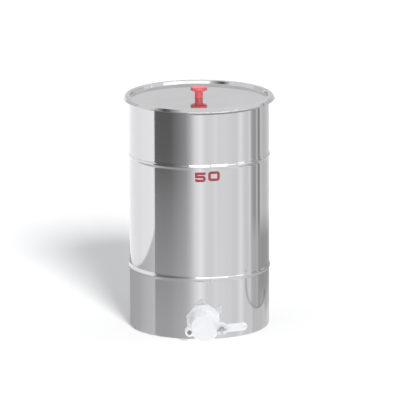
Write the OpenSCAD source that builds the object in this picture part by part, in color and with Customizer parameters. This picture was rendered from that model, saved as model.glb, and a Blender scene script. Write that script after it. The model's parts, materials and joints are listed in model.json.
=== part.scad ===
// Honey settling tank: a polished sheet-steel drum with two swaged beads and a rolled rim,
// a slip-over lid with a red knob, and a nylon flap gate low on the front wall.
// Millimetres, +Z up. The gate faces -Y, and the origin is the centre of the base's flat underside.

/* [Tank] */
// Outer diameter of the shell
tank_d = 300; // [270:5:360]
// Height of the top of the rolled rim above the floor
tank_h = 504; // [430:2:640]
// Thickness of the steel sheet
sheet_t = 0.8; // [0.6:0.1:1.2]
// Outer radius of the outward curl at the rim
rim_curl_r = 5; // [4:0.25:6]
// Height of the crest of the lower bead
lower_bead_z = 132; // [115:1:200]
// Height of the crest of the upper bead
upper_bead_z = 376; // [300:1:400]
// How far a bead stands out of the wall
bead_h = 2; // [1:0.25:3]
// Radius of the crown of a bead
bead_crown_r = 6; // [4:0.5:8]
// Radius of the hollow shoulders beside the crown
bead_shoulder_r = 9; // [6:0.5:12]
// Height of the welded seam between the base and the shell
seam_z = 12; // [10:0.5:14]
// Radius of the rounded edge of the base
base_edge_r = 6; // [4:0.5:8]

/* [Lid] */
// Outer radius of the crown that covers the rim
lid_crown_r = 8; // [7.5:0.25:9]
// Depth of the skirt below the middle of the crown
lid_skirt_h = 1.5; // [0.5:0.25:6]
// Depth of the panel below the top of the crown
lid_panel_drop = 7.6; // [6:0.2:10]
// Radius of the corner between the panel and the crown
lid_corner_r = 2.5; // [1.5:0.25:3.5]
// Lift of the lid's crown clear of the rim
lid_seat_gap = 0.3; // [0.2:0.05:0.6]

/* [Knob] */
// Diameter of the knob's cap
knob_d = 36; // [30:1:44]
// Height of the knob above the panel
knob_h = 23.5; // [20:0.5:30]
// Thickness of the cap
knob_cap_t = 8; // [6.5:0.5:10]
// Radius of the rounded edge of the cap
knob_edge_r = 3; // [1:0.25:3]
// Diameter of the stem below the cap
knob_stem_d = 17; // [15:0.5:20]
// Radius of the hollow between the stem and the cap
knob_neck_r = 5; // [3:0.5:6]
// Thread diameter of the knob's screw
knob_screw_d = 5; // [4:0.5:6]
// Diameter of the brass insert in the knob
knob_insert_d = 8; // [7.5:0.25:9]
// Length of the brass insert
knob_insert_h = 12; // [8:0.5:14]

/* [Gate body] */
// Height of the gate's axis above the floor
gate_z = 42; // [39:0.5:60]
// Turn of the gate about its axis, anticlockwise from the front
gate_roll = 5.5; // [-10:0.5:10]
// Diameter of the flow bore
bore_d = 40; // [34:0.5:40]
// Wall of the threaded stem round the bore
stem_wall = 4; // [3:0.25:5]
// Width across the flats of the octagonal flange
flange_af = 70; // [68:1:76]
// Thickness of the flange
flange_t = 8; // [6:0.5:12]
// Wall of the barrel round the bore
barrel_wall = 6; // [4.5:0.25:6.5]
// Length of the barrel from the flange to the face plate
barrel_len = 43; // [30:1:60]
// How far the face plate stands out round the flap
plate_margin = 0.75; // [0:0.25:2]
// Thickness of the face plate
plate_t = 10; // [8:0.5:14]
// Radius of the ears beside the plate
ear_r = 9.5; // [8.5:0.25:11]
// Distance of the ears below the gate's axis
ear_drop = 5.5; // [0:0.5:8]
// Distance of the pivot beyond the flap's left edge
pivot_edge = 3.55; // [3.5:0.05:8]
// Distance of the lock stud beyond the flap's right edge
stud_edge = 5.85; // [5.6:0.05:9]

/* [Gate seals] */
// Thickness of the outer gasket at the foremost line of the wall
outer_gasket_t = 2; // [1:0.25:4]
// Diameter of the outer gasket
outer_gasket_d = 64; // [58:1:66]
// Thickness of the inner gasket at its edge
inner_gasket_t = 1.5; // [1:0.25:3]
// Diameter of the inner gasket
inner_gasket_d = 58; // [55:0.5:60]
// Thickness of the cord of the face seal
seal_t = 3; // [2:0.1:3.5]
// Diameter of the face seal at the middle of its cord
seal_d = 48; // [46:0.5:50]
// Width across the flats of the back nut
back_nut_af = 60; // [56:1:64]
// Thickness of the back nut
back_nut_t = 10; // [6:0.5:14]

/* [Flap] */
// Diameter of the flap's disc
flap_d = 59.5; // [56:0.5:62]
// Thickness of the disc and the hook
flap_t = 8; // [6:0.5:10]
// Radius of the rounded front edge of the disc
flap_edge_r = 1.5; // [0.5:0.25:2]
// Radius of the hook that drops over the lock stud
hook_r = 13; // [11:0.5:14]
// Thickness of the handle
handle_t = 6.5; // [5:0.25:8]
// Distance from the lock stud to the end of the handle
handle_len = 55; // [45:1:80]
// Height of the handle
handle_w = 17; // [12:0.5:18]
// Radius of the rounded edges of the handle
handle_edge_r = 2; // [1:0.25:2.25]
// Diameter of the hanging hole at the end of the handle
handle_hole_d = 3; // [2:0.5:5]

/* [Gate fasteners] */
// Thread diameter of the pivot screw
pivot_d = 5; // [4:0.25:6]
// Head diameter of the pivot screw
pivot_head_d = 8.6; // [8:0.2:10]
// Thread diameter of the lock stud
stud_d = 6; // [5:0.25:6.5]
// Width across the flats of the lock stud's head
stud_head_af = 10; // [8:0.5:11]
// Span of the wing nut over its wings
wing_span = 22; // [20:0.5:28]
// Height of the wing nut's hub
wing_hub_h = 7.5; // [6:0.5:10]
// Diameter of the wing nut's hub
wing_hub_d = 10; // [9:0.5:12]

/* [Hidden] */

$fn = 96;

// Clearances: a loose fit on a pin, a seat between fixed curved faces, a gap between moving faces
pin_gap = 0.2;
seat_gap = 0.15;
slide_gap = 0.2;
flap_gap = 0.4;
notch_gap = 0.4;
head_gap = 0.4;
// How far a cut runs past the face that it opens
overrun = 1;

// Angles
roll_full = 360;
curl_end = -120;
octagon_sides = 8;
hexagon_sides = 6;
// Facets of the wide cylinder that shapes the gaskets to the wall
saddle_sides = 720;

// Tank
tank_r = tank_d / 2;
tank_in_r = tank_r - sheet_t;
rim_mid_r = tank_in_r + rim_curl_r;
rim_mid_z = tank_h - rim_curl_r;
bead_reach = bead_crown_r + bead_shoulder_r;
bead_half = sqrt(2 * bead_h * bead_reach - bead_h * bead_h);

// Lid
lid_mid_z = tank_h + lid_seat_gap + sheet_t - lid_crown_r;
lid_top_z = lid_mid_z + lid_crown_r;
lid_lip_z = lid_mid_z - lid_skirt_h;
lid_panel_z = lid_top_z - lid_panel_drop;
lid_corner_z = lid_panel_z + lid_corner_r;
lid_corner_reach = lid_crown_r + lid_corner_r;
lid_corner_x = rim_mid_r - sqrt(lid_corner_reach * lid_corner_reach
                                - (lid_corner_z - lid_mid_z) * (lid_corner_z - lid_mid_z));
panel_under_z = lid_panel_z - sheet_t;

// Knob
knob_foot_r = 1.2;
knob_washer_d = 15;
knob_washer_t = 1.2;
knob_head_d = 9.5;
knob_head_h = 3.2;
knob_slot_w = 1.4;
knob_slot_depth = 1.4;
knob_screw_share = 0.8;
knob_screw_len = knob_washer_t + sheet_t + knob_screw_share * knob_insert_h;

// Gate outline
stem_d = bore_d + 2 * stem_wall;
barrel_d = bore_d + 2 * barrel_wall;
plate_d = flap_d + 2 * plate_margin;
pivot_x = flap_d / 2 + pivot_edge;
stud_x = flap_d / 2 + stud_edge;

// Gate, measured outward from the tank's axis
flange_q = tank_r + seat_gap + outer_gasket_t;
barrel_q = flange_q + flange_t;
plate_q = barrel_q + barrel_len;
face_q = plate_q + plate_t;
flap_q = face_q + flap_gap;
flap_front_q = flap_q + flap_t;
inner_gasket_r = inner_gasket_d / 2;
saddle_in_r = tank_in_r - seat_gap;
inner_gasket_edge_q = sqrt(saddle_in_r * saddle_in_r - inner_gasket_r * inner_gasket_r);
inner_face_q = inner_gasket_edge_q - inner_gasket_t;
back_nut_q = inner_face_q - back_nut_t;
stem_end_len = 4;
stem_q = back_nut_q - stem_end_len;
plate_flare = 1.6;
stem_chamfer = 1.5;

// Face seal in its groove
groove_w = seal_t + 2 * seat_gap;
seal_proud = 0.1;
groove_depth = seal_t - seal_proud;

// Pivot fasteners behind the left ear
pivot_head_h = 3.2;
pivot_head_sink = 2;
pivot_socket_af = 3;
pivot_socket_depth = 1.8;
pivot_washer_d = 10;
pivot_washer_t = 1;
pivot_spring_d = 8.8;
pivot_spring_t = 1.2;
pivot_spring_slot = 0.8;
pivot_nut_af = 8;
pivot_nut_t = 4;
pivot_tail = 1.5;
pivot_boss_t = flap_t;
pivot_washer_q = plate_q - pivot_washer_t;
pivot_spring_q = pivot_washer_q - pivot_spring_t;
pivot_nut_q = pivot_spring_q - pivot_nut_t;
pivot_head_q = flap_q + pivot_boss_t - pivot_head_sink + slide_gap;

// Lock stud and its nut in front of the right ear
stud_head_h = 4;
stud_tail = 2.5;
washer_q = flap_front_q + slide_gap;
lock_washer_d = 11;
lock_washer_t = 1.2;
wing_q = washer_q + lock_washer_t;
wing_hub_top_d = 8;
wing_t = 2.6;
wing_tip_r = 3.6;
wing_tip_z = 8.4;
wing_root_z = 1;
stud_end_q = wing_q + wing_hub_h + stud_tail;
notch_w = stud_d + 2 * notch_gap;
pivot_to_stud = pivot_x + stud_x;

steel = "#c9cdd2";
zinc = "#a9adb2";
nylon = "#f2f4f7";
red = "#d8405a";
rubber = "#e3e5e6";
brass = "#c8a24a";

// Places children in the gate's frame: x to the right, y up, z outward from the tank's axis
module at_gate() {
    translate([0, 0, gate_z]) rotate([90, 0, 0]) rotate([0, 0, gate_roll]) children();
}

module at_pivot(q) {
    translate([-pivot_x, -ear_drop, q]) children();
}

module at_stud(q) {
    translate([stud_x, -ear_drop, q]) children();
}

// Disc of radius r and thickness t with its upper edge rounded
module crowned_disc(r, t, edge) {
    rotate_extrude() {
        square([r, t - edge]);
        square([r - edge, t]);
        translate([r - edge, t - edge]) intersection() {
            circle(edge);
            square(edge);
        }
    }
}

// Flat ring between two diameters
module ring(outer_d, inner_d, t) {
    difference() {
        cylinder(d = outer_d, h = t);
        translate([0, 0, -overrun]) cylinder(d = inner_d, h = t + 2 * overrun);
    }
}

// Regular prism of a given width across its flats
module prism(flats, t, sides) {
    rotate([0, 0, roll_full / sides / 2])
        cylinder(d = flats / cos(roll_full / sides / 2), h = t, $fn = sides);
}

// Filled half section of the shell's wall and beads, its skin moved in by inset
module wall_section(inset, low_z, high_z) {
    translate([0, low_z]) square([tank_r - inset, high_z - low_z]);
    for (z = [lower_bead_z, upper_bead_z]) translate([tank_r, z]) {
        difference() {
            polygon([[-bead_reach, -bead_half], [bead_shoulder_r, -bead_half],
                     [bead_h - bead_crown_r, 0],
                     [bead_shoulder_r, bead_half], [-bead_reach, bead_half]]);
            for (side = [-1, 1])
                translate([bead_shoulder_r, side * bead_half]) circle(bead_shoulder_r + inset);
        }
        translate([bead_h - bead_crown_r, 0]) circle(bead_crown_r - inset);
    }
}

// Outward curl of the rim, open below on its inner side
module rim_curl() {
    far = 2 * rim_curl_r;
    translate([rim_mid_r, rim_mid_z]) difference() {
        circle(rim_curl_r);
        circle(rim_curl_r - sheet_t);
        polygon([[0, 0], [-far, 0], [-far, -far], [far * cos(curl_end), far * sin(curl_end)]]);
    }
}

module tank_shell() {
    color(steel) difference() {
        rotate_extrude() {
            difference() {
                wall_section(0, seam_z, rim_mid_z);
                wall_section(sheet_t, seam_z - overrun, rim_mid_z + overrun);
            }
            rim_curl();
        }
        at_gate() cylinder(d = stem_d + 2 * pin_gap, h = tank_d);
    }
}

// Filled half section of the base pan, its skin moved in by inset
module base_section(inset, high_z) {
    translate([0, inset]) square([tank_r - base_edge_r, high_z - inset]);
    translate([0, base_edge_r]) square([tank_r - inset, high_z - base_edge_r]);
    translate([tank_r - base_edge_r, base_edge_r]) circle(base_edge_r - inset);
}

module tank_base() {
    color(steel) rotate_extrude() intersection() {
        difference() {
            base_section(0, seam_z);
            base_section(sheet_t, seam_z + overrun);
        }
        square([tank_r, seam_z]);
    }
}

// Filled half section of the lid, its skin moved in by inset
module lid_section(inset, low_z) {
    translate([0, low_z]) square([lid_corner_x, lid_panel_z - inset - low_z]);
    difference() {
        polygon([[lid_corner_x, low_z], [rim_mid_r, low_z],
                 [rim_mid_r, lid_mid_z], [lid_corner_x, lid_corner_z]]);
        translate([lid_corner_x, lid_corner_z]) circle(lid_corner_r + inset);
    }
    translate([rim_mid_r, lid_mid_z]) circle(lid_crown_r - inset);
    translate([rim_mid_r, low_z]) square([lid_crown_r - inset, lid_mid_z - low_z]);
}

module lid() {
    color(steel) difference() {
        rotate_extrude() intersection() {
            difference() {
                lid_section(0, lid_lip_z);
                lid_section(sheet_t, lid_lip_z - overrun);
            }
            translate([0, lid_lip_z]) square([rim_mid_r + lid_crown_r, lid_top_z - lid_lip_z]);
        }
        translate([0, 0, panel_under_z - overrun])
            cylinder(d = knob_screw_d + 2 * pin_gap, h = sheet_t + 2 * overrun);
    }
}

// Half section of the knob: foot, stem, hollow neck and rounded cap
module knob_section() {
    stem_r = knob_stem_d / 2;
    cap_r = knob_d / 2;
    cap_z = knob_h - knob_cap_t;
    square([stem_r, knob_h - knob_edge_r]);
    difference() {
        square([stem_r + knob_foot_r, knob_foot_r]);
        translate([stem_r + knob_foot_r, knob_foot_r]) circle(knob_foot_r);
    }
    translate([0, cap_z - knob_neck_r]) difference() {
        square([stem_r + knob_neck_r, knob_neck_r]);
        translate([stem_r + knob_neck_r, 0]) circle(knob_neck_r);
    }
    translate([0, cap_z]) {
        square([cap_r - knob_edge_r, knob_cap_t]);
        translate([0, knob_edge_r]) square([cap_r, knob_cap_t - 2 * knob_edge_r]);
    }
    for (z = [cap_z + knob_edge_r, knob_h - knob_edge_r])
        translate([cap_r - knob_edge_r, z]) circle(knob_edge_r);
}

module lid_knob() {
    color(red) translate([0, 0, lid_panel_z]) difference() {
        rotate_extrude() knob_section();
        translate([0, 0, -overrun])
            cylinder(d = knob_insert_d + 2 * seat_gap, h = knob_insert_h + seat_gap + overrun);
    }
}

module knob_insert() {
    color(brass) translate([0, 0, lid_panel_z])
        ring(knob_insert_d, knob_screw_d + 2 * pin_gap, knob_insert_h);
}

module knob_washer() {
    color(zinc) translate([0, 0, panel_under_z - knob_washer_t])
        ring(knob_washer_d, knob_screw_d + 2 * pin_gap, knob_washer_t);
}

module knob_screw() {
    seat_z = panel_under_z - knob_washer_t;
    color(zinc) translate([0, 0, seat_z]) difference() {
        union() {
            cylinder(d = knob_screw_d, h = knob_screw_len);
            translate([0, 0, -knob_head_h]) cylinder(d = knob_head_d, h = knob_head_h);
        }
        translate([-knob_head_d, -knob_slot_w / 2, -knob_head_h - overrun])
            cube([2 * knob_head_d, knob_slot_w, knob_slot_depth + overrun]);
    }
}

// Outline of the gate's face plate with its two ears
module plate_outline() {
    circle(d = plate_d);
    translate([-pivot_x, -ear_drop - ear_r]) square([pivot_to_stud, 2 * ear_r]);
    for (x = [-pivot_x, stud_x]) translate([x, -ear_drop]) circle(ear_r);
}

module gate_solid() {
    translate([0, 0, stem_q]) cylinder(d1 = stem_d - 2 * stem_chamfer, d2 = stem_d, h = stem_chamfer);
    translate([0, 0, stem_q + stem_chamfer])
        cylinder(d = stem_d, h = barrel_q - stem_q - stem_chamfer);
    translate([0, 0, flange_q]) prism(flange_af, flange_t, octagon_sides);
    translate([0, 0, barrel_q]) cylinder(d = barrel_d, h = barrel_len);
    translate([0, 0, plate_q - plate_flare])
        cylinder(d1 = barrel_d, d2 = barrel_d + 2 * plate_flare, h = plate_flare);
    translate([0, 0, plate_q]) linear_extrude(plate_t) plate_outline();
}

module gate_body() {
    color(nylon) at_gate() difference() {
        gate_solid();
        translate([0, 0, stem_q - overrun])
            cylinder(d = bore_d, h = face_q - stem_q + 2 * overrun);
        translate([0, 0, face_q - groove_depth])
            ring(seal_d + groove_w, seal_d - groove_w, groove_depth + overrun);
        at_pivot(plate_q - overrun)
            cylinder(d = pivot_d + 2 * pin_gap, h = plate_t + 2 * overrun);
        at_stud(plate_q - overrun)
            cylinder(d = stud_d + 2 * pin_gap, h = plate_t + 2 * overrun);
        at_stud(plate_q - overrun)
            prism(stud_head_af + 2 * pin_gap, stud_head_h + overrun, hexagon_sides);
    }
}

// Rubber ring between the wall and the flange, hollowed to the curve of the wall
module outer_gasket() {
    color(rubber) difference() {
        at_gate() ring_from(0, flange_q, outer_gasket_d, stem_d + 2 * pin_gap);
        translate([0, 0, -overrun]) cylinder(r = tank_r + seat_gap, h = tank_h, $fn = saddle_sides);
    }
}

// Rubber ring between the back nut and the wall, rounded to the curve of the wall
module inner_gasket() {
    color(rubber) intersection() {
        at_gate() ring_from(inner_face_q, tank_r, inner_gasket_d, stem_d + 2 * pin_gap);
        translate([0, 0, -overrun]) cylinder(r = saddle_in_r, h = tank_h, $fn = saddle_sides);
    }
}

// Ring along the gate's axis from one distance to another
module ring_from(from_q, to_q, outer_d, inner_d) {
    translate([0, 0, from_q]) ring(outer_d, inner_d, to_q - from_q);
}

module back_nut() {
    color(nylon) at_gate() translate([0, 0, back_nut_q]) difference() {
        prism(back_nut_af, back_nut_t, hexagon_sides);
        translate([0, 0, -overrun])
            cylinder(d = stem_d + 2 * pin_gap, h = back_nut_t + 2 * overrun);
    }
}

module face_seal() {
    color(rubber) at_gate() translate([0, 0, face_q - groove_depth + seal_t / 2])
        rotate_extrude() translate([seal_d / 2, 0]) circle(d = seal_t);
}

// Curved slot that lets the hook swing up and off the lock stud
module hook_notch() {
    at_stud(-overrun) cylinder(d = notch_w, h = flap_t + 2 * overrun);
    intersection() {
        at_pivot(-overrun) ring(2 * pivot_to_stud + notch_w, 2 * pivot_to_stud - notch_w,
                                flap_t + 2 * overrun);
        translate([stud_x - hook_r, -ear_drop - 2 * hook_r, -overrun])
            cube([2 * hook_r, 2 * hook_r, flap_t + 2 * overrun]);
    }
}

// Handle: a bar with rounded edges and a round end, drawn to the right from the lock stud
module flap_handle() {
    half = handle_w / 2;
    bar_len = handle_len - half;
    flat = handle_t - 2 * handle_edge_r;
    rotate([90, 0, 90]) linear_extrude(bar_len) {
        translate([-half + handle_edge_r, 0]) square([handle_w - 2 * handle_edge_r, handle_t]);
        translate([-half, handle_edge_r]) square([handle_w, flat]);
        for (x = [-half + handle_edge_r, half - handle_edge_r])
            for (z = [handle_edge_r, handle_t - handle_edge_r])
                translate([x, z]) circle(handle_edge_r);
    }
    translate([bar_len, 0, 0]) rotate_extrude() {
        square([half - handle_edge_r, handle_t]);
        translate([0, handle_edge_r]) square([half, flat]);
        for (z = [handle_edge_r, handle_t - handle_edge_r])
            translate([half - handle_edge_r, z]) circle(handle_edge_r);
    }
}

module flap_solid() {
    crowned_disc(flap_d / 2, flap_t, flap_edge_r);
    at_pivot(0) crowned_disc(ear_r, pivot_boss_t, flap_edge_r);
    at_stud(0) crowned_disc(hook_r, flap_t, flap_edge_r);
    at_stud(0) flap_handle();
}

module gate_flap() {
    hole_x = handle_len - handle_w / 2 + handle_hole_d / 2;
    color(nylon) at_gate() translate([0, 0, flap_q]) difference() {
        flap_solid();
        at_pivot(-overrun) cylinder(d = pivot_d + 2 * pin_gap, h = pivot_boss_t + 2 * overrun);
        at_pivot(pivot_boss_t - pivot_head_sink)
            cylinder(d = pivot_head_d + 2 * head_gap, h = pivot_head_sink + overrun);
        hook_notch();
        at_stud(-overrun) translate([hole_x, 0, 0])
            cylinder(d = handle_hole_d, h = handle_t + 2 * overrun);
    }
}

module pivot_screw() {
    shank_q = pivot_nut_q - pivot_tail;
    color(zinc) at_gate() at_pivot(0) difference() {
        union() {
            translate([0, 0, shank_q]) cylinder(d = pivot_d, h = pivot_head_q - shank_q);
            translate([0, 0, pivot_head_q]) cylinder(d = pivot_head_d, h = pivot_head_h);
        }
        translate([0, 0, pivot_head_q + pivot_head_h - pivot_socket_depth])
            prism(pivot_socket_af, pivot_socket_depth + overrun, hexagon_sides);
    }
}

module pivot_washer() {
    color(zinc) at_gate() at_pivot(pivot_washer_q)
        ring(pivot_washer_d, pivot_d + 2 * pin_gap, pivot_washer_t);
}

module pivot_spring_washer() {
    color(zinc) at_gate() at_pivot(pivot_spring_q) difference() {
        ring(pivot_spring_d, pivot_d + 2 * pin_gap, pivot_spring_t);
        translate([0, -pivot_spring_slot / 2, -overrun])
            cube([pivot_spring_d, pivot_spring_slot, pivot_spring_t + 2 * overrun]);
    }
}

module pivot_nut() {
    color(zinc) at_gate() at_pivot(pivot_nut_q) difference() {
        prism(pivot_nut_af, pivot_nut_t, hexagon_sides);
        translate([0, 0, -overrun])
            cylinder(d = pivot_d + 2 * pin_gap, h = pivot_nut_t + 2 * overrun);
    }
}

module lock_stud() {
    color(zinc) at_gate() at_stud(plate_q) {
        prism(stud_head_af, stud_head_h, hexagon_sides);
        cylinder(d = stud_d, h = stud_end_q - plate_q);
    }
}

module lock_washer() {
    color(zinc) at_gate() at_stud(washer_q)
        ring(lock_washer_d, stud_d + 2 * pin_gap, lock_washer_t);
}

// One wing of the wing nut, drawn in the plane of the nut's axis
module wing() {
    reach = wing_span / 2 - wing_tip_r;
    rotate([90, 0, 0]) translate([0, 0, -wing_t / 2]) linear_extrude(wing_t) {
        translate([reach, wing_tip_z]) circle(wing_tip_r);
        polygon([[0, wing_root_z], [wing_hub_d / 2, wing_root_z],
                 [wing_span / 2, wing_tip_z], [reach - wing_tip_r, wing_tip_z],
                 [wing_hub_top_d / 2, wing_hub_h - wing_root_z], [0, wing_hub_h - wing_root_z]]);
    }
}

module lock_wing_nut() {
    color(zinc) at_gate() at_stud(wing_q) difference() {
        union() {
            cylinder(d1 = wing_hub_d, d2 = wing_hub_top_d, h = wing_hub_h);
            for (turn = [0, roll_full / 2]) rotate([0, 0, turn]) wing();
        }
        translate([0, 0, -overrun])
            cylinder(d = stud_d + 2 * pin_gap, h = wing_hub_h + wing_tip_z + 2 * overrun);
    }
}

tank_shell();
tank_base();
lid();
lid_knob();
knob_insert();
knob_washer();
knob_screw();
gate_body();
outer_gasket();
inner_gasket();
back_nut();
face_seal();
gate_flap();
pivot_screw();
pivot_washer();
pivot_spring_washer();
pivot_nut();
lock_stud();
lock_washer();
lock_wing_nut();
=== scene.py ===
import json
import math

import bmesh
import bpy
from mathutils import Matrix, Vector

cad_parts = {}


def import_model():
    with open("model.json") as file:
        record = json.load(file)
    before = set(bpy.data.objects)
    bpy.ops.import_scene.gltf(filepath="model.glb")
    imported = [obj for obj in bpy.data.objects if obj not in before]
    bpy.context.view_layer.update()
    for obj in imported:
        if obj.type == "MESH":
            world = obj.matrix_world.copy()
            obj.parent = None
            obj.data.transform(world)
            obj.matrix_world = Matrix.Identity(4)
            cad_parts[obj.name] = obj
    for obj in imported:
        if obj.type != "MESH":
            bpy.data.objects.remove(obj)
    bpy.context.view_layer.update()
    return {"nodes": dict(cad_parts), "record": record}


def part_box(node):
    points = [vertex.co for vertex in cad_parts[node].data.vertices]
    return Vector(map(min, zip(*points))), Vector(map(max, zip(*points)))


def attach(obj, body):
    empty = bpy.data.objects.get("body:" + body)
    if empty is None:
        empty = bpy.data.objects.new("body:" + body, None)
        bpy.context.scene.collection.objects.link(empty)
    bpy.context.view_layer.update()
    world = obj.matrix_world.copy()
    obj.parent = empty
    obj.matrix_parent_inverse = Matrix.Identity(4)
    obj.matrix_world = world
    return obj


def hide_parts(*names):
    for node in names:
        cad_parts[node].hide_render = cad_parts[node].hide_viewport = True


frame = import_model()
nodes = frame["nodes"]
MM = 0.001

# Sizes that the frame gives
TANK_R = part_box("tank_base")[1].x
TANK_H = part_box("tank_shell")[1].z
SEAM_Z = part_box("tank_base")[1].z
CURL_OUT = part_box("tank_shell")[1].x
LID_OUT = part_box("lid")[1].x
LID_LIP_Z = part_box("lid")[0].z
LID_TOP_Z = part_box("lid")[1].z
PANEL_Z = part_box("lid_knob")[0].z
KNOB_TOP_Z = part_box("lid_knob")[1].z
KNOB_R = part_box("lid_knob")[1].x

# Sizes of the sheet work
SHEET = 0.8 * MM
BEADS_Z = (132 * MM, 376 * MM)
BEAD_H = 2 * MM
BEAD_CROWN_R = 6 * MM
BEAD_SHOULDER_R = 9 * MM
BASE_EDGE_R = 6 * MM
CURL_R = 5 * MM
CURL_END = -120
CURL_MID = (CURL_OUT - CURL_R, TANK_H - CURL_R)
LID_LIP_R = 1.2 * MM
LID_LIP_END = -80
LID_TOP_R = 1.5 * MM
LID_TOP_IN = 4.6 * MM
LID_WALL_LEAN = 20
LID_CORNER_R = 1.5 * MM
SCREW_HOLE_R = 2.7 * MM
GATE_Z = 42 * MM
WALL_HOLE_R = 24.2 * MM

# Sizes of the knob
KNOB_CAP_T = 8 * MM
KNOB_EDGE_R = 3 * MM
KNOB_STEM_R = 8.5 * MM
KNOB_NECK_R = 5 * MM
KNOB_FOOT_R = 1.2 * MM
INSERT_R = 4.15 * MM
INSERT_H = 12.15 * MM

# Fineness of the meshes
LATHE_STEPS = 288
SMALL_LATHE_STEPS = 96
ARC_STEP = math.radians(4)
GUARD = 0.6 * MM
LONG_RUN = 6 * GUARD
TINY = 1e-6
SHARP = math.radians(35)


# Meshes

def steps(low, high, count):
    """Evenly spaced values from low to high."""
    return [low + (high - low) * i / count for i in range(count + 1)]


def arc(mid, r, start, end):
    """Points along an arc about mid from one angle to another, in degrees."""
    a, b = math.radians(start), math.radians(end)
    count = max(2, math.ceil(abs(b - a) / ARC_STEP))
    return [(mid[0] + r * math.cos(t), mid[1] + r * math.sin(t)) for t in steps(a, b, count)]


def guarded(points):
    """Adds points close to the ends of each long run, so that its shading stays true."""
    out = []
    for p, q in zip(points, points[1:] + points[:1]):
        out.append(p)
        run = math.dist(p, q)
        if run > LONG_RUN:
            for share in (GUARD / run, 1 - GUARD / run):
                out.append((p[0] + (q[0] - p[0]) * share, p[1] + (q[1] - p[1]) * share))
    return out


def without_repeats(points):
    out = []
    for p in points:
        if not out or math.dist(p, out[-1]) > TINY:
            out.append(p)
    if math.dist(out[0], out[-1]) < TINY:
        out.pop()
    return out


def new_object(name, bm):
    """A smooth-shaded object from a bmesh, with its sharp edges left sharp."""
    bmesh.ops.recalc_face_normals(bm, faces=bm.faces)
    mesh = bpy.data.meshes.new(name)
    bm.to_mesh(mesh)
    bm.free()
    mesh.shade_smooth()
    mesh.set_sharp_from_angle(angle=SHARP)
    obj = bpy.data.objects.new(name, mesh)
    bpy.context.collection.objects.link(obj)
    return obj


def lathe(name, section, sides=LATHE_STEPS):
    """Turns a closed half section of (radius, height) points about the Z axis."""
    turns = [math.tau * i / sides for i in range(sides)]
    bm = bmesh.new()
    rings = []
    for r, z in guarded(without_repeats(section)):
        if r < TINY:
            rings.append([bm.verts.new((0, 0, z))])
            continue
        rings.append([bm.verts.new((r * math.cos(t), r * math.sin(t), z)) for t in turns])
    for a, b in zip(rings, rings[1:] + rings[:1]):
        for i in range(sides):
            j = (i + 1) % sides
            corners = [a[i % len(a)], a[j % len(a)], b[j % len(b)], b[i % len(b)]]
            face = list(dict.fromkeys(corners))
            if len(face) > 2:
                bm.faces.new(face)
    return new_object(name, bm)


def cut(obj, cutter):
    """Cuts one closed mesh out of another for good."""
    mod = obj.modifiers.new("cut", "BOOLEAN")
    mod.operation = "DIFFERENCE"
    mod.solver = "EXACT"
    mod.object = cutter
    graph = bpy.context.evaluated_depsgraph_get()
    mesh = bpy.data.meshes.new_from_object(obj.evaluated_get(graph))
    mesh.set_sharp_from_angle(angle=SHARP)
    obj.modifiers.remove(mod)
    old = obj.data
    obj.data = mesh
    bpy.data.meshes.remove(old)
    bpy.data.objects.remove(cutter)


def rod(name, r, length, spot, turn):
    """A plain cylinder along its own Z axis, turned and moved into place."""
    bm = bmesh.new()
    bmesh.ops.create_cone(
        bm, segments=SMALL_LATHE_STEPS, radius1=r, radius2=r, depth=length, cap_ends=True)
    bm.transform(Matrix.Translation(spot) @ turn)
    return new_object(name, bm)


# Sections of the sheet work and the knob

def wall_line(inset):
    """Skin of the wall from the seam to the upper bead, moved in by inset."""
    reach = BEAD_CROWN_R + BEAD_SHOULDER_R
    half = math.sqrt(2 * BEAD_H * reach - BEAD_H * BEAD_H)
    tilt = math.degrees(math.asin(half / reach))
    shoulder_x = TANK_R + BEAD_SHOULDER_R
    shoulder_r = BEAD_SHOULDER_R + inset
    line = [(TANK_R - inset, SEAM_Z)]
    for z in BEADS_Z:
        line += arc((shoulder_x, z - half), shoulder_r, 180, 180 - tilt)
        line += arc((TANK_R + BEAD_H - BEAD_CROWN_R, z), BEAD_CROWN_R - inset, -tilt, tilt)
        line += arc((shoulder_x, z + half), shoulder_r, 180 + tilt, 180)
    return line


def shell_section():
    outer = wall_line(0) + arc(CURL_MID, CURL_R - SHEET, 180, CURL_END)
    inner = wall_line(SHEET) + arc(CURL_MID, CURL_R, 180, CURL_END)
    return outer + inner[::-1]


def base_section():
    mid = (TANK_R - BASE_EDGE_R, BASE_EDGE_R)
    outer = [(0, 0)] + arc(mid, BASE_EDGE_R, -90, 0) + [(TANK_R, SEAM_Z)]
    inner = [(0, SHEET)] + arc(mid, BASE_EDGE_R - SHEET, -90, 0) + [(TANK_R - SHEET, SEAM_Z)]
    return outer + inner[::-1]


def lid_skin(inset):
    """Skin of the lid, moved in by inset: panel, steep wall, top, crest, slope and lip."""
    crest_r = LID_TOP_Z - CURL_MID[1]
    lip = (LID_OUT - LID_LIP_R, LID_LIP_Z + LID_LIP_R)
    fall = math.atan2(lip[1] - CURL_MID[1], lip[0] - CURL_MID[0])
    slope = math.degrees(math.acos((crest_r - LID_LIP_R) / math.dist(CURL_MID, lip)) + fall)
    top = (CURL_MID[0] - LID_TOP_IN, LID_TOP_Z - LID_TOP_R)
    lean = math.radians(LID_WALL_LEAN)
    both_r = LID_TOP_R + LID_CORNER_R
    corner_z = PANEL_Z + LID_CORNER_R
    drop = top[1] + both_r * math.sin(lean) - corner_z
    corner = (top[0] - both_r * math.cos(lean) - drop * math.tan(lean), corner_z)
    line = [(SCREW_HOLE_R, PANEL_Z - inset)]
    line += arc(corner, LID_CORNER_R + inset, -90, -LID_WALL_LEAN)
    line += arc(top, LID_TOP_R - inset, 180 - LID_WALL_LEAN, 90)
    line += arc(CURL_MID, crest_r - inset, 90, slope)
    line += arc(lip, LID_LIP_R - inset, slope, LID_LIP_END)
    return line


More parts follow.
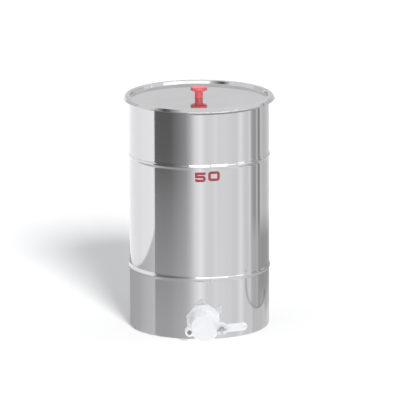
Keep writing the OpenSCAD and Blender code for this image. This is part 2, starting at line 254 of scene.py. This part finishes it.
def lid_section():
    return lid_skin(0) + lid_skin(SHEET)[::-1]


def knob_section():
    cap_z = KNOB_TOP_Z - KNOB_CAP_T
    foot_x = KNOB_STEM_R + KNOB_FOOT_R
    edge_x = KNOB_R - KNOB_EDGE_R
    out = [(INSERT_R, PANEL_Z), (foot_x, PANEL_Z)]
    out += arc((foot_x, PANEL_Z + KNOB_FOOT_R), KNOB_FOOT_R, 270, 180)
    out += arc((KNOB_STEM_R + KNOB_NECK_R, cap_z - KNOB_NECK_R), KNOB_NECK_R, 180, 90)
    out += arc((edge_x, cap_z + KNOB_EDGE_R), KNOB_EDGE_R, -90, 0)
    out += arc((edge_x, KNOB_TOP_Z - KNOB_EDGE_R), KNOB_EDGE_R, 0, 90)
    out += [(0, KNOB_TOP_Z), (0, PANEL_Z + INSERT_H), (INSERT_R, PANEL_Z + INSERT_H)]
    return out


# Materials

# Most of the noise lies between these values
NOISE_RANGE = (0.3, 0.7)


def material(name):
    mat = bpy.data.materials.new(name)
    mat.use_nodes = True
    tree = mat.node_tree
    return mat, tree.nodes, tree.links, tree.nodes["Principled BSDF"]


def noise(tn, tl, scale, detail, stretch=(1, 1, 1)):
    """Noise in the object's own coordinates, stretched along its axes."""
    coord = tn.new("ShaderNodeTexCoord")
    place = tn.new("ShaderNodeMapping")
    place.inputs["Scale"].default_value = stretch
    tex = tn.new("ShaderNodeTexNoise")
    tex.inputs["Scale"].default_value = scale
    tex.inputs["Detail"].default_value = detail
    tl.new(coord.outputs["Object"], place.inputs["Vector"])
    tl.new(place.outputs["Vector"], tex.inputs["Vector"])
    return tex.outputs["Fac"]


def spread(tn, tl, source, low, high):
    """Maps noise onto a range of values or colours."""
    ramp = tn.new("ShaderNodeValToRGB")
    for end, position, value in zip(ramp.color_ramp.elements, NOISE_RANGE, (low, high)):
        end.position = position
        end.color = (*value, 1) if isinstance(value, tuple) else (value, value, value, 1)
    tl.new(source, ramp.inputs["Fac"])
    return ramp.outputs["Color"]


def bump(tn, tl, shader, height, strength, distance):
    node = tn.new("ShaderNodeBump")
    node.inputs["Strength"].default_value = strength
    node.inputs["Distance"].default_value = distance
    tl.new(height, node.inputs["Height"])
    tl.new(node.outputs["Normal"], shader.inputs["Normal"])


def finish(name, colours, roughness, grain, wear=None, metallic=0, depth=None, relief=None):
    """A finish whose colour and roughness each run over a range.
    grain gives the scale, detail and stretch of the noise for both, and wear those for the
    roughness where they differ. depth is the share and reach of light under the surface,
    and relief the noise, strength and height of a bump."""
    mat, tn, tl, bsdf = material(name)
    bsdf.inputs["Metallic"].default_value = metallic
    tint = noise(tn, tl, *grain)
    rub = noise(tn, tl, *wear) if wear else tint
    tl.new(spread(tn, tl, tint, *colours), bsdf.inputs["Base Color"])
    tl.new(spread(tn, tl, rub, *roughness), bsdf.inputs["Roughness"])
    if depth:
        share, reach = depth
        bsdf.inputs["Subsurface Weight"].default_value = share
        bsdf.inputs["Subsurface Radius"].default_value = (1, 1, 1)
        bsdf.inputs["Subsurface Scale"].default_value = reach
    if relief:
        waves, strength, height = relief
        bump(tn, tl, bsdf, noise(tn, tl, *waves), strength, height)
    return mat


FINISHES = {
    "polished_steel": dict(
        colours=((0.57, 0.57, 0.585), (0.62, 0.62, 0.635)), roughness=(0.045, 0.085),
        grain=(18, 4, (1, 1, 0.03)), wear=(30, 3, (1, 1, 0.1)), metallic=1,
        relief=((9, 2, (1, 1, 0.12)), 0.25, 0.4 * MM)),
    "satin_steel": dict(
        colours=((0.6, 0.6, 0.61), (0.68, 0.68, 0.69)), roughness=(0.3, 0.42),
        grain=(60, 4, (1, 1, 0.05)), metallic=0.4),
    "steel_fastener": dict(
        colours=((0.46, 0.46, 0.47), (0.56, 0.56, 0.57)), roughness=(0.14, 0.26),
        grain=(400, 3), metallic=1),
    # A darker copy of the fastener steel: partly the pivot screw's own darker finish, partly
    # painted shade of its recess
    "dark_steel_and_shade": dict(
        colours=((0.2, 0.2, 0.21), (0.3, 0.3, 0.31)), roughness=(0.14, 0.26),
        grain=(400, 3), metallic=1),
    "white_nylon": dict(
        colours=((0.84, 0.85, 0.865), (0.88, 0.885, 0.895)), roughness=(0.36, 0.46),
        grain=(60, 3), wear=(300, 2), depth=(0.4, 2.5 * MM), relief=((700, 2), 0.08, 0.1 * MM)),
    "red_plastic": dict(
        colours=((0.87, 0.13, 0.155), (0.92, 0.165, 0.19)), roughness=(0.2, 0.3),
        grain=(120, 3), wear=(500, 2)),
    "rubber": dict(
        colours=((0.8, 0.81, 0.81), (0.86, 0.86, 0.86)), roughness=(0.45, 0.6),
        grain=(300, 4), depth=(0.3, 1.5 * MM)),
    "brass": dict(
        colours=((0.62, 0.44, 0.16), (0.74, 0.55, 0.24)), roughness=(0.22, 0.38),
        grain=(500, 3), metallic=1),
    "red_ink": dict(
        colours=((0.3, 0.03, 0.05), (0.4, 0.05, 0.07)), roughness=(0.35, 0.55),
        grain=(260, 5)),
}
LOOKS = {name: finish(name, **values) for name, values in FINISHES.items()}


def dress(obj, look):
    obj.data.materials.clear()
    obj.data.materials.append(LOOKS[look])


def piece(obj, body, look, *replaced, slot=None):
    """Dresses a piece, hangs it on its body and hides the CAD nodes that it replaces."""
    dress(obj, look)
    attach(obj, body)
    if replaced:
        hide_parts(*replaced)
    return obj


# How far a face leans towards the axis or upwards before it counts as looking into the tank
LEANS_IN = 0.3
LEANS_UP = 0.7


def satin_inside(obj):
    """Gives the faces that look into the tank a satin finish."""
    obj.data.materials.append(LOOKS["satin_steel"])
    for face in obj.data.polygons:
        out = Vector((face.center.x, face.center.y, 0))
        inward = face.normal.dot(out) < -LEANS_IN * out.length or face.normal.z > LEANS_UP
        inside = out.length < TANK_R + BEAD_H and face.center.z < TANK_H - 2 * CURL_R
        face.material_index = int(inward and inside)


# The CAD nodes that stay in view take their record's finish, and moulded ones softer edges
SOFT_EDGES = {
    "gate_body": 0.7 * MM,
    "gate_flap": 0.7 * MM,
    "back_nut": 0.7 * MM,
    "lock_wing_nut": 0.3 * MM,
}
SOFT_EDGE_STEPS = 3
for part in frame["record"]["subparts"]:
    dress(nodes[part["node"]], part["material_slot"])
# The pivot screw takes the darker steel, which paints the dark spot at its head: partly a darker
# screw, partly painted shade of its recess
dress(nodes["pivot_screw"], "dark_steel_and_shade")
for node, width in SOFT_EDGES.items():
    soft = nodes[node].modifiers.new("soft_edges", "BEVEL")
    soft.width = width
    soft.segments = SOFT_EDGE_STEPS
    soft.angle_limit = SHARP

# Sheet work and knob
gate_turn = Matrix.Rotation(math.radians(90), 4, "X")
shell = lathe("shell", shell_section())
cut(shell, rod("wall_hole", WALL_HOLE_R, TANK_R, Vector((0, -TANK_R, GATE_Z)), gate_turn))
satin_inside(piece(shell, "tank", "polished_steel", "tank_shell"))
satin_inside(piece(lathe("base", base_section()), "tank", "polished_steel", "tank_base"))
piece(lathe("lid_sheet", lid_section()), "lid", "polished_steel", "lid")
knob = piece(lathe("knob", knob_section(), SMALL_LATHE_STEPS), "lid", "red_plastic", "lid_knob")

# Capacity mark: plain digits printed on the wall
MARK_H = 21 * MM
MARK_STROKE = 5.6 * MM
MARK_HOOK = 3.6 * MM
MARK_TURN_R = 3.6 * MM
MARK_INK = 0.08 * MM
FIVE_W = 22.8 * MM
FIVE_BAR_UP = MARK_STROKE / 8
NOUGHT_W = 25.2 * MM
FIVE_U = -5 * MM
FIVE_Z = 355 * MM
NOUGHT_U = 24.5 * MM
NOUGHT_Z = 356.6 * MM
MARK_STEP = 0.7 * MM
MARK_TURN_STEPS = 8


def rounded_path(corners):
    """A line through (across, up, radius) corners with its turns rounded, as points."""
    points = []
    count = len(corners)
    for i, (x, y, r) in enumerate(corners):
        p = Vector((x, y))
        if not r:
            points.append(p)
            continue
        a, b = (Vector(corners[(i + k) % count][:2]) - p for k in (-1, 1))
        reach = min(r, a.length / 2, b.length / 2)
        a, b = a.normalized() * reach, b.normalized() * reach
        for k in range(MARK_TURN_STEPS + 1):
            turn = math.pi / 2 * k / MARK_TURN_STEPS
            points.append(p + a + b - b * math.cos(turn) - a * math.sin(turn))
    return points


def printed(name, corners, closed, mid_u, mid_z):
    """A stroke of ink of even width with mitred corners, wrapped round the wall."""
    points = rounded_path(corners)
    path = [points[0]]
    for p in points[1:] + (points[:1] if closed else []):
        start, run = path[-1], p - path[-1]
        if run.length < TINY:
            continue
        count = math.ceil(run.length / MARK_STEP)
        path += [start + run * (k / count) for k in range(1, count + 1)]
    if closed:
        path.pop()
    bm = bmesh.new()
    count = len(path)
    rows = []
    for i, p in enumerate(path):
        before = p - path[i - 1] if closed or i else path[1] - p
        after = path[(i + 1) % count] - p if closed or i < count - 1 else before
        across = [Vector((-d.y, d.x)).normalized() for d in (before, after)]
        side = (across[0] + across[1]) / (1 + across[0].dot(across[1])) * MARK_STROKE / 2
        row = []
        for spot, r in ((p + side, TANK_R), (p + side, TANK_R + MARK_INK),
                        (p - side, TANK_R + MARK_INK), (p - side, TANK_R)):
            a = (spot.x + mid_u) / TANK_R
            row.append(bm.verts.new((r * math.sin(a), -r * math.cos(a), mid_z + spot.y)))
        rows.append(row)
    for a, b in zip(rows, rows[1:] + (rows[:1] if closed else [])):
        for k in range(len(a)):
            j = (k + 1) % len(a)
            bm.faces.new((a[k], b[k], b[j], a[j]))
    if not closed:
        bm.faces.new(rows[0])
        bm.faces.new(rows[-1])
    return piece(new_object(name, bm), "tank", "red_ink", slot="red_plastic")


half_h = (MARK_H - MARK_STROKE) / 2
five_x = (FIVE_W - MARK_STROKE) / 2
nought_x = (NOUGHT_W - MARK_STROKE) / 2
five = [
    (five_x + MARK_STROKE / 2, half_h, 0),
    (-five_x, half_h, 0),
    (-five_x, FIVE_BAR_UP, 0),
    (five_x, FIVE_BAR_UP, MARK_TURN_R),
    (five_x, -half_h, MARK_TURN_R),
    (-five_x, -half_h, MARK_TURN_R),
    (-five_x, -half_h + MARK_HOOK, 0),
]
nought = [
    (nought_x, half_h, MARK_TURN_R),
    (-nought_x, half_h, MARK_TURN_R),
    (-nought_x, -half_h, MARK_TURN_R),
    (nought_x, -half_h, MARK_TURN_R),
]
printed("mark_five", five, False, FIVE_U, FIVE_Z)
printed("mark_nought", nought, True, NOUGHT_U, NOUGHT_Z)

# Studio. Angles on the wall are in degrees to the right of the camera's line.
FLOOR_R = 16.0
FLOOR_SIDES = 64
VIEW_AZIMUTH = math.radians(-2.86)
VIEW_SLOPE = math.tan(math.radians(12.5))
# Fall of the mirrored line of sight with distance from the wall
WALL_SLOPE = 0.2177
# How far the aprons start inside the wall, and how high they lie above the floor
APRON_GAP = -5 * MM
APRON_LIFT = 0.5 * MM
FILL = 0.34
FILL_TINT = (0.96, 0.97, 1, 1)
WHITE = (1, 1, 1, 1)


def plan(azimuth):
    """Level direction at an angle to the right of the camera, seen from the tank."""
    a = VIEW_AZIMUTH + azimuth
    return Vector((math.sin(a), -math.cos(a), 0))


def mirrored(wall_deg, reach):
    """Spot that the wall shows at an angle round its front, at a distance from the wall."""
    t = math.radians(wall_deg)
    return plan(t) * TANK_R + plan(2 * t) * reach


def blend(value, stops):
    """Straight lines between (position, level) stops."""
    for (a, low), (b, high) in zip(stops, stops[1:]):
        if value <= b:
            return low + (high - low) * max(0, min(1, (value - a) / (b - a)))
    return stops[-1][1]


def maths(tn, tl, operation, *values):
    """A math node on sockets and plain numbers."""
    node = tn.new("ShaderNodeMath")
    node.operation = operation
    for socket, value in zip(node.inputs, values):
        if isinstance(value, bpy.types.NodeSocket):
            tl.new(value, socket)
        else:
            socket.default_value = value
    return node.outputs[0]


def glow_material():
    """Light as bright as the mesh says, for the flats that polished steel mirrors.
    What the steel passes on from them to matt faces is cut down to the share of the fill."""
    mat = bpy.data.materials.new("flat")
    mat.use_nodes = True
    tn, tl = mat.node_tree.nodes, mat.node_tree.links
    tn.clear()
    out = tn.new("ShaderNodeOutputMaterial")
    glow = tn.new("ShaderNodeEmission")
    level = tn.new("ShaderNodeAttribute")
    level.attribute_name = "glow"
    path = tn.new("ShaderNodeLightPath")
    passed_on = maths(tn, tl, "MINIMUM", path.outputs["Diffuse Depth"], 1)
    share = maths(tn, tl, "MULTIPLY_ADD", passed_on, FILL - 1, 1)
    tl.new(maths(tn, tl, "MULTIPLY", level.outputs["Fac"], share), glow.inputs["Strength"])
    tl.new(glow.outputs["Emission"], out.inputs["Surface"])
    return mat


GLOW = glow_material()


def flat(name, columns):
    """A studio flat that only glossy rays reach, from columns of points and their levels."""
    bm = bmesh.new()
    layer = bm.verts.layers.float.new("glow")
    grid = []
    for column in columns:
        grid.append([])
        for spot, level in column:
            grid[-1].append(bm.verts.new(spot))
            grid[-1][-1][layer] = level
    for a, b in zip(grid, grid[1:]):
        for k in range(len(a) - 1):
            bm.faces.new((a[k], b[k], b[k + 1], a[k + 1]))
    obj = new_object(name, bm)
    obj.data.materials.append(GLOW)
    obj.visible_camera = False
    obj.visible_diffuse = False
    obj.visible_shadow = False
    obj.visible_transmission = False


def upright(foot, low, high, level):
    """An evenly lit column over a spot on the floor."""
    return [(Vector((foot.x, foot.y, h)), level) for h in (low, high)]


def near_flat(name, left, right, reach, top, glow, rows=30):
    """A flat between two angles round the wall, with an apron on the floor up to the tank.
    Its glow is a function of the angle and of the height on the wall where it is mirrored."""
    spots = [(d, APRON_LIFT) for d in steps(APRON_GAP, reach, rows)]
    spots += [(reach, h) for h in steps(2 * APRON_LIFT, top, rows)]
    columns = []
    for t in steps(left, right, NEAR_COLUMNS):
        columns.append([
            (mirrored(t, d) + Vector((0, 0, h)), glow(t, h + WALL_SLOPE * d)) for d, h in spots])
    flat(name, columns)


def floor():
    """Pale floor, which the lamps for it bring to white outside the shadow."""
    bm = bmesh.new()
    bmesh.ops.create_circle(bm, cap_ends=True, segments=FLOOR_SIDES, radius=FLOOR_R)
    obj = new_object("floor", bm)
    mat, tn, tl, bsdf = material("floor")
    tl.new(spread(tn, tl, noise(tn, tl, 3, 2), 0.915, 0.925), bsdf.inputs["Base Color"])
    bsdf.inputs["Roughness"].default_value = 0.9
    bsdf.inputs["Specular IOR Level"].default_value = 0
    obj.data.materials.append(mat)
    return obj


def direct_rays(tn, tl):
    """One for rays straight from the camera or by way of gloss or glass, nought for light
    that reaches a matt face."""
    path = tn.new("ShaderNodeLightPath")
    total = path.outputs["Is Camera Ray"]
    for kind in ("Is Glossy Ray", "Is Transmission Ray"):
        total = maths(tn, tl, "MAXIMUM", total, path.outputs[kind])
    not_matt = maths(tn, tl, "SUBTRACT", 1, path.outputs["Diffuse Depth"])
    return maths(tn, tl, "MINIMUM", total, not_matt)


def sun(name, azimuth, elevation, strength, spread_deg, shadow=True):
    lamp = bpy.data.lights.new(name, "SUN")
    lamp.use_shadow = shadow
    lamp.energy = strength
    lamp.angle = math.radians(spread_deg)
    obj = bpy.data.objects.new(name, lamp)
    bpy.context.collection.objects.link(obj)
    e = math.radians(elevation)
    back = plan(math.radians(azimuth)) * math.cos(e) + Vector((0, 0, math.sin(e)))
    obj.rotation_euler = back.to_track_quat("Z", "Y").to_euler()
    obj.visible_glossy = False
    return obj


def linked(name, objects, state):
    """A group for light linking that takes in or leaves out its objects."""
    group = bpy.data.collections.new(name)
    for obj in objects:
        group.objects.link(obj)
    for link in group.collection_objects:
        link.light_linking.link_state = state
    return group


def lights(lamp, obj, alone):
    """Lets a lamp light one object alone, or all but that one."""
    state = "INCLUDE" if alone else "EXCLUDE"
    lamp.light_linking.receiver_collection = linked(lamp.name + "_on", [obj], state)


def soften(lamp, objects):
    """Leaves the shadow of small objects to the fill, which casts it softly."""
    lamp.light_linking.blocker_collection = linked(lamp.name + "_past", objects, "EXCLUDE")


def world(fill, seen):
    """White behind the tank and in its gloss, and a fill light on matt faces."""
    w = bpy.data.worlds.new("studio")
    bpy.context.scene.world = w
    w.use_nodes = True
    tn, tl = w.node_tree.nodes, w.node_tree.links
    tn.clear()
    out = tn.new("ShaderNodeOutputWorld")
    mix = tn.new("ShaderNodeMixShader")
    for slot_no, level, tint in ((1, fill, FILL_TINT), (2, seen, WHITE)):
        bg = tn.new("ShaderNodeBackground")
        bg.inputs["Color"].default_value = tint
        bg.inputs["Strength"].default_value = level
        tl.new(bg.outputs["Background"], mix.inputs[slot_no])
    tl.new(direct_rays(tn, tl), mix.inputs["Fac"])
    tl.new(mix.outputs["Shader"], out.inputs["Surface"])


# Lamps: floor_key and floor_fill light the floor alone, and floor_key casts the shadow on it.
# The others light the tank at a plain level, lid_bounce its knob alone.
ground = floor()
world(FILL, 1.0)
gate_pieces = ("gate_body", "gate_flap", "lock_wing_nut", "lock_stud", "pivot_screw")
floor_key = sun("floor_key", azimuth=14.3, elevation=32.3, strength=2.95, spread_deg=13)
floor_fill = sun(
    "floor_fill", azimuth=0, elevation=89, strength=0.9, spread_deg=10, shadow=False)
key = sun("key", azimuth=20, elevation=8, strength=0.75, spread_deg=12)
top = sun("top", azimuth=35, elevation=70, strength=1.2, spread_deg=50)
back_fill = sun(
    "back_fill", azimuth=180, elevation=20, strength=2.7, spread_deg=10, shadow=False)
lid_bounce = sun(
    "lid_bounce", azimuth=0, elevation=-35, strength=1.3, spread_deg=10, shadow=False)
for lamp in (floor_key, floor_fill):
    lights(lamp, ground, True)
for lamp in (key, top, back_fill):
    lights(lamp, ground, False)
lights(lid_bounce, knob, True)
soften(floor_key, [nodes[name] for name in gate_pieces])

# Where the flats round the tank meet, in degrees on the wall
LEFT_EDGE = -39.4
FADE_EDGE = -8
FRONT_EDGE = -3
RIGHT_EDGE = 40.5
RIGHT_END = 88
# How far the flats stand from the wall, and the windows from the tank's axis
NEAR_REACH = 0.3
FRONT_REACH = 0.8
FAR_REACH = 2.5
NEAR_COLUMNS = 120

# White flat at the left, running towards the back, and the shaded floor before it
LEFT_RUN = 2.1
LEFT_TOP = 0.55
LEFT_COLUMNS = 48
APRON_TURN = 48
left_near, left_mid = mirrored(LEFT_EDGE, 1.05), mirrored(-61, 0.62)
white_columns, apron_columns = [], []
for u in steps(0, 1, LEFT_COLUMNS):
    foot = left_near + (left_mid - left_near) * LEFT_RUN * u
    white_columns.append(upright(foot, 0, LEFT_TOP, 1.3 - 0.2 * u))
    wall = mirrored(LEFT_EDGE - APRON_TURN * u, APRON_GAP)
    shade = 0.8 - 0.36 * min(1, 1.25 * u) ** 1.4
    lift = Vector((0, 0, APRON_LIFT))
    apron_columns.append([(wall + (foot - wall) * k + lift, shade) for k in steps(0, 1, 4)])
flat("white_flat", white_columns)
flat("left_apron", apron_columns)

# Dark flat at the front left, fading out to the right and lighter near the floor.
# The first stops are by height on the wall, the others by angle.
DARK_TOP_Z = 0.62
FADE_TOP_Z = 0.45
FADED = 1.1
dark_down = [(0.03, 0.55), (0.16, 0.44), (0.28, 0.34), (0.40, 0.18), (0.50, 0.16)]
fade = [(-24, 0), (-19, 0.1), (-11, 0.27), (-7, 0.56), (-3, 1)]
dark_top = [(-40, 1), (-35, 0.45), (-30, 0.1), (-26, 0.2), (-18, 0.7), (-14, 1)]


def dark_level(t, z):
    dark = blend(z, dark_down)
    return dark + (FADED - dark) * blend(t, fade)


near_flat("dark_flat", LEFT_EDGE, FADE_EDGE, NEAR_REACH, DARK_TOP_Z, dark_level)
near_flat("fade_flat", FADE_EDGE, FRONT_EDGE, NEAR_REACH, FADE_TOP_Z, dark_level)
flat("dark_top", [
    upright(mirrored(t, NEAR_REACH), DARK_TOP_Z, 0.85, blend(t, dark_top))
    for t in steps(-40, -14, 52)])

# Pale flat in front with three soft bright bands, each by its middle, half width and lift,
# and painted shade: a dark strip close under the lid's edge that the wall mirrors as a dark line
FRONT_TOP_Z = 0.34
pale = [(-3, 1.03), (20, 1.02), (29, 0.95), (44, 0.94)]
bands = ((1, 5, 0.24), (13.5, 3, 0.08), (36.5, 4, 0.22))
under_lid_shade = [(-9, 0.6), (-3, 0.42), (40, 0.42), (62, 0.7)]


def front_level(t, z):
    lifts = (lift * max(0, 1 - abs(t - mid) / half) for mid, half, lift in bands)
    return blend(t, pale) + sum(lifts)


near_flat("front_flat", FRONT_EDGE, RIGHT_EDGE, FRONT_REACH, FRONT_TOP_Z, front_level)
# Painted shade: a dark strip just below the lid's edge, which only the wall's gloss shows
flat("lid_shade_line", [
    upright(mirrored(t, 0.01), 0.488, 0.491, blend(t, under_lid_shade)) for t in steps(-9, 62, 80)])

# Narrow dark strips and a grey flat at the right, with a dark loop near the floor.
# The strips are by angle, higher up and near the floor, and the loop by metres across and up.
RIGHT_TOP_Z = 0.6
RIGHT_ROWS = 120
strip = [
    (40.5, 0.95), (44.6, 0.94), (45.2, 1.06), (46.8, 1.03), (47.6, 0.74), (49.3, 0.57),
    (50.6, 0.49), (54, 0.48), (54.7, 0.74), (56.5, 0.74), (57, 0.36), (59.7, 0.36),
    (60.7, 0.84), (66, 0.7), (90, 0.8)]
low_strip = [
    (40.5, 0.95), (44.6, 0.9), (45.2, 1), (46.8, 0.96), (47.6, 0.78), (49.3, 0.66), (54, 0.63),
    (54.7, 0.68), (56.5, 0.68), (57.5, 0.5), (66, 0.44), (90, 0.47)]
rise = [(0.2, 0), (0.26, 1)]
foot_lift = [(0.03, 1), (0.05, 0.5), (0.098, 0)]
FOOT_FROM = 60
FOOT_LEVEL = 0.8
loop = [
    (0.099, 0.136), (0.1, 0.096), (0.103, 0.078), (0.1083, 0.0636), (0.1147, 0.0548),
    (0.1222, 0.0496), (0.1298, 0.0497), (0.1362, 0.0546), (0.139, 0.0665), (0.1396, 0.084)]
LOOP_LINE = 2.2 * MM
LOOP_DARK = 0.5
LOOP_SPLIT = 0.113
LOOP_LEVELS = (0.95, 0.8)


def off_line(spot, line):
    """Distance from a spot to a line of straight runs, up to a metre."""
    out = 1
    for a, b in zip(line, line[1:]):
        a, b = Vector(a), Vector(b)
        share = max(0, min(1, (spot - a).dot(b - a) / (b - a).length_squared))
        out = min(out, (spot - a - (b - a) * share).length)
    return out


def right_level(t, z):
    low = blend(t, low_strip)
    level = low + (blend(t, strip) - low) * blend(z, rise)
    across = TANK_R * math.sin(math.radians(t))
    if loop[0][0] < across < loop[-1][0] and z < blend(across, loop):
        level = LOOP_LEVELS[across > LOOP_SPLIT]
    elif t > FOOT_FROM:
        level += (FOOT_LEVEL - level) * blend(z, foot_lift)
    line = max(0, 1 - off_line(Vector((across, z)), loop) / LOOP_LINE)
    return level * (1 - LOOP_DARK * line)


near_flat("right_flat", RIGHT_EDGE, RIGHT_END, NEAR_REACH, RIGHT_TOP_Z, right_level, RIGHT_ROWS)

# Grey flat behind, which the lid's panel shows
flat("back_flat", [
    upright(plan(math.radians(a)) * FAR_REACH, 0.45, 1.6, 0.8) for a in steps(110, 250, 20)])

# Bright windows in front: low ones over the pale flat and others above the camera's line,
# by their left and right ends and their tops, and a long one higher up, lower at its right end
windows = ((-8, 8.5, 1.8), (10, 24, 1.8), (33.5, 46, 1.3))
WINDOW_COLUMNS = 12
HIGH_BOTTOM_Z = 1.8
HIGH_FALL = 0.01
HIGH_FALL_FROM = 40
for k, (left, right, window_top) in enumerate(windows):
    angles = steps(left, right, WINDOW_COLUMNS)
    flat(f"low_window_{k}", [upright(mirrored(t, FRONT_REACH), 0.48, 0.66, 1.8) for t in angles])
    flat(f"window_{k}", [
        upright(plan(math.radians(2 * t)) * FAR_REACH, 1.2, window_top, 5.0) for t in angles])
high_columns = []
for a in steps(-20, 66, 20):
    bottom = HIGH_BOTTOM_Z - HIGH_FALL * max(0, a - HIGH_FALL_FROM)
    high_columns.append(upright(plan(math.radians(a)) * FAR_REACH, bottom, 2.3, 1.7))
flat("high_window", high_columns)

# Camera
CAMERA_ROLL = 0.2
CAMERA_REACH = 14
SENSOR_MM = 36
LENS_MM = 585.7
CLIP_END = 100
AIM = Vector((0, 0, 0.245))
AIM_UP = 0.0268
AIM_RIGHT = 0.0017


def camera():
    cam = bpy.data.cameras.new("camera")
    cam.sensor_width = SENSOR_MM
    cam.lens = LENS_MM
    cam.clip_end = CLIP_END
    obj = bpy.data.objects.new("camera", cam)
    bpy.context.collection.objects.link(obj)
    back = (plan(0) + Vector((0, 0, VIEW_SLOPE))).normalized()
    right = Vector((0, 0, 1)).cross(plan(0))
    up = back.cross(right)
    place = AIM + up * AIM_UP + right * AIM_RIGHT + back * CAMERA_REACH
    roll = Matrix.Rotation(math.radians(-CAMERA_ROLL), 3, "Z")
    turn = Matrix((right, up, back)).transposed() @ roll
    obj.matrix_world = Matrix.Translation(place) @ turn.to_4x4()
    bpy.context.scene.camera = obj


camera()
bpy.context.scene.view_settings.view_transform = "Standard"
